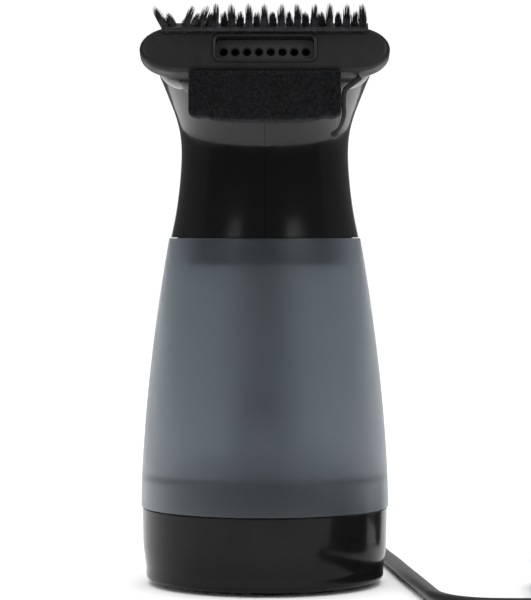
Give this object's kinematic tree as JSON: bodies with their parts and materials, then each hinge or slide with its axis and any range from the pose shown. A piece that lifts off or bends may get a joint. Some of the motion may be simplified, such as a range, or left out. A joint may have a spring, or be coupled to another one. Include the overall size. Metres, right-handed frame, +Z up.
{
  "type": "handheld garment steamer",
  "caption": "Jug-shaped handheld garment steamer with a translucent tank, loop handle with trigger, hinged filler lid and a pull-off brush head.",
  "frame": {"origin": "middle of the footprint of the steamer without its cord, on the surface that it stands on", "axes": "+Z up; the steam head faces -Y and the handle is at +Y; +X to the right as the head faces the viewer"},
  "size_m": [0.2225, 0.2215, 0.2426],
  "materials": {
    "gloss_black": "polished moulded",
    "gloss_graphite": "polished moulded",
    "smoke_tank": "translucent, satin",
    "matte_black": "fine moulded texture",
    "bristle": "nylon fibre",
    "pile": "short directional pile",
    "soft_rubber": "matte",
    "silicone": "translucent matte",
    "cast_aluminium": "as cast",
    "bright_steel": "zinc plated",
    "brass": "machined",
    "inner_plastic": "plain moulded",
    "pilot_red": "clear tinted",
    "cord_sheath": "smooth PVC"
  },
  "bodies": {
    "body": {"base_shell": "gloss_black", "base_cover": "matte_black", "foot_front": "soft_rubber", "foot_left": "soft_rubber", "foot_right": "soft_rubber", "foot_rear": "soft_rubber", "cover_screw_1": "bright_steel", "cover_screw_2": "bright_steel", "cover_screw_3": "bright_steel", "cover_screw_4": "bright_steel", "water_tank": "smoke_tank", "tank_cap": "matte_black", "tank_gasket": "silicone", "boiler_seal": "silicone", "boiler_body": "cast_aluminium", "boiler_cap": "cast_aluminium", "steam_riser": "inner_plastic", "heating_element": "bright_steel", "thermostat": "bright_steel", "thermal_fuse": "bright_steel", "terminal_block": "inner_plastic", "lead_live": "cord_sheath", "lead_neutral": "cord_sheath", "cord_clamp": "inner_plastic", "housing_left": "gloss_graphite", "housing_right": "gloss_graphite", "case_screw_1": "bright_steel", "case_screw_2": "bright_steel", "case_screw_3": "bright_steel", "case_screw_4": "bright_steel", "filler_funnel": "inner_plastic", "lid_hinge_pin": "bright_steel", "steam_valve": "brass", "valve_spring": "bright_steel", "steam_hose": "silicone", "trigger_pin": "bright_steel", "switch_body": "inner_plastic", "pilot_lens": "pilot_red", "steam_plate": "matte_black", "steam_chamber": "inner_plastic", "strain_relief": "soft_rubber", "mains_cord": "cord_sheath", "cord_hank": "cord_sheath", "cord_tail": "cord_sheath", "plug_body": "soft_rubber", "plug_pin_left": "brass", "plug_pin_right": "brass"},
    "lid": {"filler_lid": "gloss_graphite", "lid_seal": "silicone"},
    "trigger_lever": {"trigger": "matte_black"},
    "valve_stem": {"push_rod": "bright_steel"},
    "lock": {"lock_button": "matte_black"},
    "power_button": {"power_slider": "matte_black"},
    "brush_head": {"brush_frame": "matte_black", "bristle_strip": "bristle", "lint_pad": "pile", "retaining_strap": "soft_rubber"}
  },
  "joints": [
    {"name": "lid_hinge", "type": "hinge", "parent": "body", "child": "lid", "pos_m": [0, 0.006, 0.2332], "axis": [-1, 0, 0], "range_deg": [0, 100]},
    {"name": "trigger_pull", "type": "hinge", "parent": "body", "child": "trigger_lever", "pos_m": [0, 0.0716, 0.196], "axis": [1, 0, 0], "range_deg": [0, 8], "stiffness_Nm_per_rad": 0.3, "springref_deg": -5.73},
    {"name": "rod_push", "type": "slide", "parent": "body", "child": "valve_stem", "axis": [0, -1, 0], "range_m": [0, 0.0019], "deforming": ["valve_spring"]},
    {"name": "lock_slide", "type": "slide", "parent": "body", "child": "lock", "axis": [1, 0, 0], "range_m": [0, 0.003]},
    {"name": "power_slide", "type": "slide", "parent": "body", "child": "power_button", "axis": [0, 1, 0], "range_m": [0, 0.004]},
    {"name": "brush_pull", "type": "slide", "parent": "body", "child": "brush_head", "axis": [0, -0.9659, 0.2588], "range_m": [0, 0.02]}
  ],
  "couplings": [
    {"joint": "rod_push", "follows": "trigger_pull", "m_per_rad": 0.0135}
  ]
}
